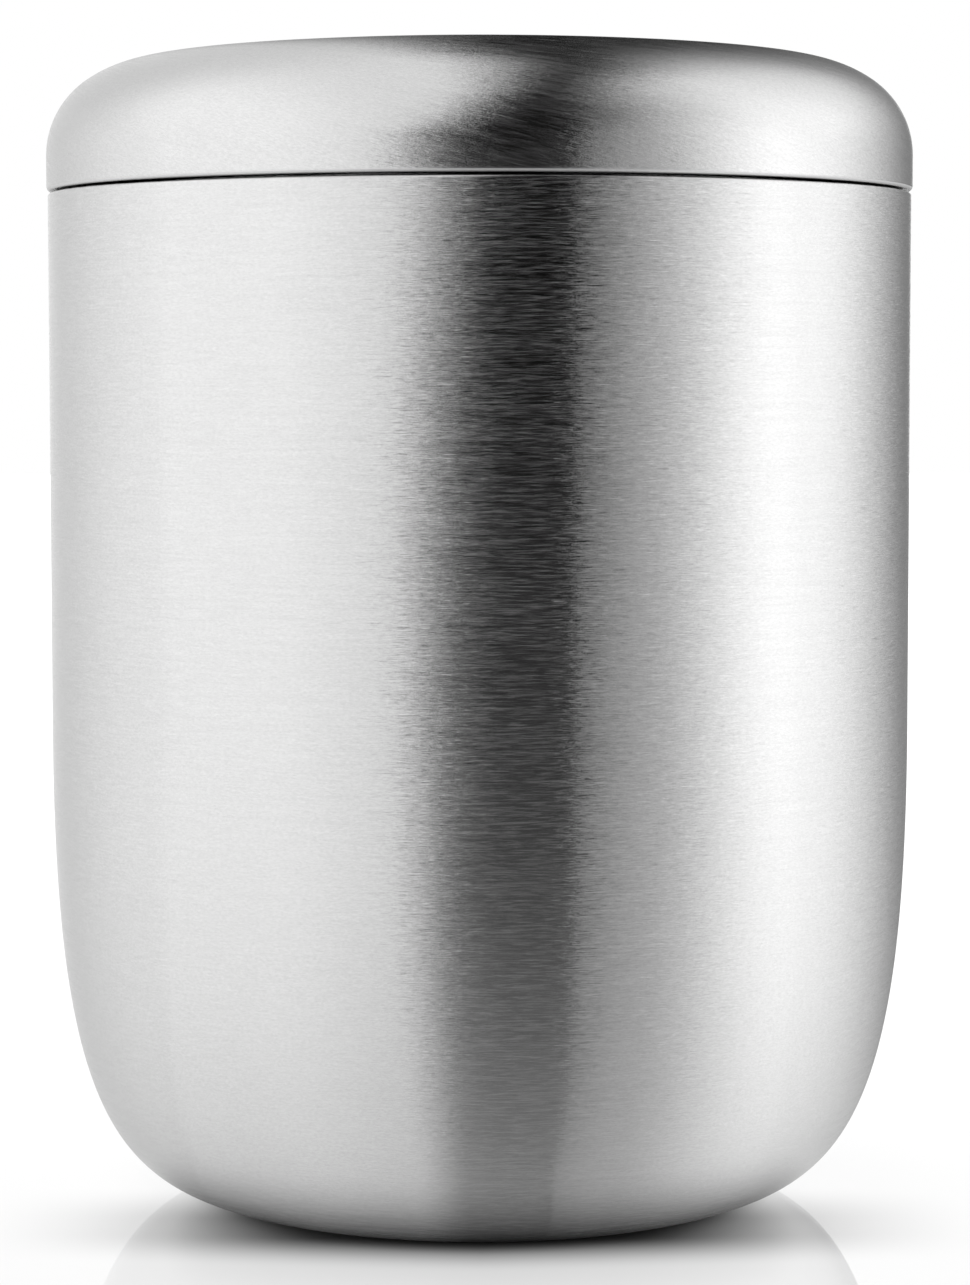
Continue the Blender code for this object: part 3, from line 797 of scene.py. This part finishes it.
def bank_light(graph, x, y, z, lean):
    """How bright the studio is in a direction: two soft banks of light with an unlit gap between them.

    side is the direction's angle to the left (-90) or right (+90) of the upright plane through the jar and
    the camera, and over is its angle in that plane: 0 at the camera, 90 overhead and 180 behind the jar.
    The gap is on the camera's side, narrows overhead, and has a sharp edge on its right. lean moves its left
    border at the jar's height, in degrees.
    """
    squares = graph.plus(graph.times(y, y), graph.times(z, z))
    side = graph.math("DEGREES", graph.math("ARCTAN2", x, graph.math("SQRT", squares)))
    toward = graph.times(y, -1.0)
    over = graph.math("DEGREES", graph.math("ARCTAN2", graph.math("MAXIMUM", z, 0.0), toward))
    raised = graph.ramp(over, *RAISED, 0.0, 1.0)
    overhead = graph.ramp(over, *OVERHEAD, 0.0, 1.0, "LINEAR")
    past_overhead = graph.ramp(over, *PAST_OVERHEAD, 0.0, 1.0)
    behind = graph.ramp(over, *BEHIND, 0.0, 1.0)

    def border_angle(level, low, high, past):
        return graph.mix(graph.mix(level, graph.mix(low, high, overhead), raised), past, past_overhead)

    level_side = graph.mix(graph.minus(side, lean), side, raised)
    fringe = graph.mix(LEFT_FRINGE, 0.0, raised)
    main_part = graph.ramp(level_side, border_angle(*LEFT_START), border_angle(*LEFT_FULL), 0.0,
                           graph.minus(1.0, fringe))
    border = graph.plus(main_part, graph.ramp(level_side, *LEFT_FRINGE_SPAN, 0.0, fringe))
    left = graph.times(border, graph.ramp(
        side, graph.mix(*LEFT_INNER, behind), graph.mix(*LEFT_OUTER, behind),
        graph.mix(*LEFT_INNER_LEVEL, behind), graph.mix(*LEFT_OUTER_LEVEL, behind),
    ))

    edge = graph.mix(*RIGHT_EDGE, overhead)
    near = graph.ramp(
        side, graph.mix(*RIGHT_NEAR_START, raised), graph.mix(*RIGHT_NEAR_END, raised),
        graph.mix(*RIGHT_NEAR_START_LEVEL, raised), RIGHT_NEAR_END_LEVEL,
    )
    far = graph.ramp(side, graph.mix(*RIGHT_FAR_START, raised), RIGHT_FAR_END, 0.0, RIGHT_FAR_LEVEL)
    level_right = graph.times(graph.ramp(side, edge, graph.plus(edge, RIGHT_EDGE_BLUR), 0.0, 1.0),
                              graph.plus(near, far))
    high_right = graph.plus(
        graph.ramp(side, graph.mix(*HIGH_START, past_overhead), HIGH_END, 0.0, HIGH_LEVEL),
        graph.ramp(side, *HIGH_OUTER_SPAN, 0.0, HIGH_OUTER_LEVEL),
    )
    rear_right = graph.times(graph.ramp(side, *REAR_EDGE_SPAN, 0.0, 1.0),
                             graph.ramp(side, *REAR_SPAN, *REAR_LEVELS))
    right = graph.mix(level_right, high_right, graph.ramp(over, *HIGH, 0.0, 1.0))
    right = graph.mix(right, rear_right, graph.ramp(over, *REAR, 0.0, 1.0))
    return side, over, graph.plus(left, right)


def painted_floor_light(graph, x, y, away):
    """Painted light and shade that the floor glows with for glossy rays: the banks' light, evened out near the
    jar, and a painted shadow under the foot.

    The light is taken a little behind each place, so that its borders meet in front of the jar's axis.
    """
    pushed = graph.plus(y, graph.times(graph.math("MINIMUM", away, body_radius), PUSH_SHARE))
    lean = graph.plus(graph.ramp(away, *NEAR_LEAN_SPAN, *NEAR_LEAN),
                      graph.ramp(away, *FAR_LEAN_SPAN, 0.0, FAR_LEAN))
    banks = bank_light(graph, x, pushed, 0.0, lean)[2]
    # Painted light: evened out near the jar, and again at its foot
    nearness = graph.math("MINIMUM", 1.0, graph.math("DIVIDE", EVEN_DISTANCE, away))
    evened = graph.plus(graph.times(banks, EVEN_SHARE), EVEN_LEVEL)
    lit = graph.mix(banks, evened, graph.math("POWER", nearness, EVEN_POWER))
    lit_at_foot = graph.plus(graph.times(lit, FOOT_SHARE), FOOT_LEVEL)
    lit = graph.mix(lit, lit_at_foot, graph.ramp(away, *FOOT_SPAN, 1.0, 0.0))
    # A painted shadow under the foot, narrower behind the jar
    reach = graph.plus(away, graph.ramp(y, *FOOT_SHADOW_BEHIND_SPAN, 0.0, FOOT_SHADOW_BEHIND_SHIFT))
    return graph.times(lit, graph.ramp(reach, *FOOT_SHADOW_SPAN, 0.0, 1.0))


def white_glow_with_painted_shadow(graph, x, y, away):
    """How much white the floor glows with for the camera beside its own shading: none in a painted shadow in
    front of and beside the jar and at its contact, and more to the right.
    """
    sideways = graph.math("ABSOLUTE", x)
    toward = graph.minus(graph.times(sideways, SHADOW_BOW), y)
    front = graph.ramp(toward, *SHADOW_FRONT, 1.0, 0.0)
    flank = graph.ramp(sideways, *SHADOW_SIDE, 1.0, 0.0)
    back = graph.ramp(y, *SHADOW_BACK, 1.0, 0.0)
    # A painted shadow in front of and beside the jar, with a painted dark contact at its foot
    shade = graph.times(graph.times(front, flank), back)
    clear = graph.times(graph.minus(1.0, shade), graph.ramp(away, *CONTACT_SPAN, 0.0, 1.0))
    # White stronger to the right, a painted evening-out of the floor's own shading, and a little stronger in
    # the middle
    white = graph.plus(graph.ramp(x, *WHITE_SPAN, *WHITE_LEVELS),
                       graph.ramp(sideways, *WHITE_MIDDLE_SPAN, WHITE_MIDDLE, 0.0))
    return graph.times(clear, white)


def make_floor():
    """A white polished floor. The camera sees it glow bright, with the jar's shadow, partly cast and partly
    painted, and its mirrored outline. Metal sees it glow with painted light and shade.
    """
    bpy.ops.mesh.primitive_plane_add(size=FLOOR_SIZE, location=(0.0, 0.0, 0.0))
    floor = bpy.context.object
    floor.name = "studio_floor"
    made, graph, shader = new_material("floor_white")
    shader.inputs["Base Color"].default_value = (FLOOR_TONE, FLOOR_TONE, FLOOR_TONE, 1.0)
    shader.inputs["Roughness"].default_value = 0.0
    shader.inputs["IOR"].default_value = FLOOR_IOR
    place = graph.node("ShaderNodeTexCoord").outputs["Object"]
    x, y = graph.node("ShaderNodeSeparateXYZ", Vector=place).outputs[:2]
    away = graph.math("SQRT", graph.plus(graph.times(x, x), graph.times(y, y)))
    rays = graph.node("ShaderNodeLightPath").outputs
    # The floor glows for glossy rays with painted light, and a painted shadow under the foot
    glow = graph.node("ShaderNodeEmission", Strength=painted_floor_light(graph, x, y, away))
    # For the camera the floor glows white, leaving out a painted shadow of the jar
    lift = graph.node("ShaderNodeEmission", Strength=white_glow_with_painted_shadow(graph, x, y, away))
    seen = graph.node("ShaderNodeAddShader")
    graph.feed(seen.inputs[0], shader.outputs[0])
    graph.feed(seen.inputs[1], lift.outputs[0])
    surface = graph.mix_shaders(shader.outputs[0], seen.outputs[0], rays["Is Camera Ray"])
    surface = graph.mix_shaders(surface, glow.outputs[0], rays["Is Glossy Ray"])
    graph.feed(made.node_tree.nodes["Material Output"].inputs["Surface"], surface)
    floor.data.materials.append(made)


def make_world():
    """The banks of light and a white screen behind the jar. The camera and the floor's mirror see white."""
    world = bpy.data.worlds.new("studio_light")
    bpy.context.scene.world = world
    world.use_nodes = True
    graph = Graph(world.node_tree)
    graph.tree.nodes.clear()
    direction = graph.node("ShaderNodeTexCoord").outputs["Generated"]
    x, y, z = graph.node("ShaderNodeSeparateXYZ", Vector=direction).outputs
    side, over, banks = bank_light(graph, x, y, z, AIR_LEAN)
    screen = graph.times(graph.ramp(graph.math("ABSOLUTE", side), *SCREEN_SIDE, 1.0, 0.0),
                         graph.ramp(over, *SCREEN_OVER, 0.0, 1.0))
    rays = graph.node("ShaderNodeLightPath").outputs
    plain = graph.math("MAXIMUM", rays["Is Camera Ray"], rays["Is Singular Ray"])
    level = graph.mix(graph.mix(banks, 1.0, screen), 1.0, plain)
    light = graph.node("ShaderNodeBackground", Color=(1.0, 1.0, 1.0, 1.0), Strength=level)
    out = graph.node("ShaderNodeOutputWorld")
    graph.feed(out.inputs["Surface"], light.outputs[0])


def make_camera():
    data = bpy.data.cameras.new("camera")
    data.sensor_fit = "VERTICAL"
    data.sensor_height = FILM_HEIGHT
    data.lens = CAMERA_LENS
    data.clip_start = NEAREST_SEEN
    data.clip_end = FARTHEST_SEEN
    camera = bpy.data.objects.new("camera", data)
    tilt = Matrix.Rotation(math.pi / 2 - CAMERA_PITCH, 4, "X") @ Matrix.Rotation(CAMERA_ROLL, 4, "Z")
    camera.matrix_world = Matrix.Translation(CAMERA_PLACE) @ tilt
    bpy.context.scene.collection.objects.link(camera)
    bpy.context.scene.camera = camera


def main():
    make_camera()
    make_world()
    make_floor()
    bpy.context.scene.view_settings.view_transform = "Standard"
    shell_steel = brushed_steel(
        "shell_steel", tone=0.64, finish=0.20, anisotropy=1.0, inward=1.0, length=2.4 * MM, width=0.09 * MM,
        scratch=0.055, dash=0.04, grit=0.08, mottle=0.04, haze=0.18,
    )
    liner_steel = brushed_steel(
        "liner_steel", tone=0.66, finish=0.22, anisotropy=0.7, inward=1.0, length=9.0 * MM, width=0.3 * MM,
        scratch=0.03, dash=0.02, grit=0.03, mottle=0.04, haze=0.10,
    )
    cover_steel = brushed_steel(
        "cover_steel", tone=0.63, finish=0.22, anisotropy=0.5, inward=-1.0, length=1.6 * MM, width=0.11 * MM,
        scratch=0.03, dash=0.025, grit=0.09, mottle=0.05, haze=0.08, shear=0.25,
    )
    edge_steel = brushed_steel(
        "edge_steel", tone=0.76, finish=0.55, anisotropy=0.0, inward=1.0, length=1.2 * MM, width=0.12 * MM,
        scratch=0.0, dash=0.0, grit=0.10, mottle=0.04, haze=0.0,
    )
    make_shell_skin(shell_steel)
    make_cover_skin(cover_steel, edge_steel)
    make_liner_cup(liner_steel)
    make_threaded_insert(moulded("insert_plastic", (0.03, 0.03, 0.032), 0.42, 0.35 * MM, 0.02 * MM))
    make_gasket_ring(moulded("gasket_silicone", (0.72, 0.72, 0.70), 0.5, 0.5 * MM, 0.01 * MM))
    make_foot_disc(moulded("pad_silicone", (0.05, 0.05, 0.05), 0.7, 0.3 * MM, 0.03 * MM))
    dress_hidden_nodes()


main()
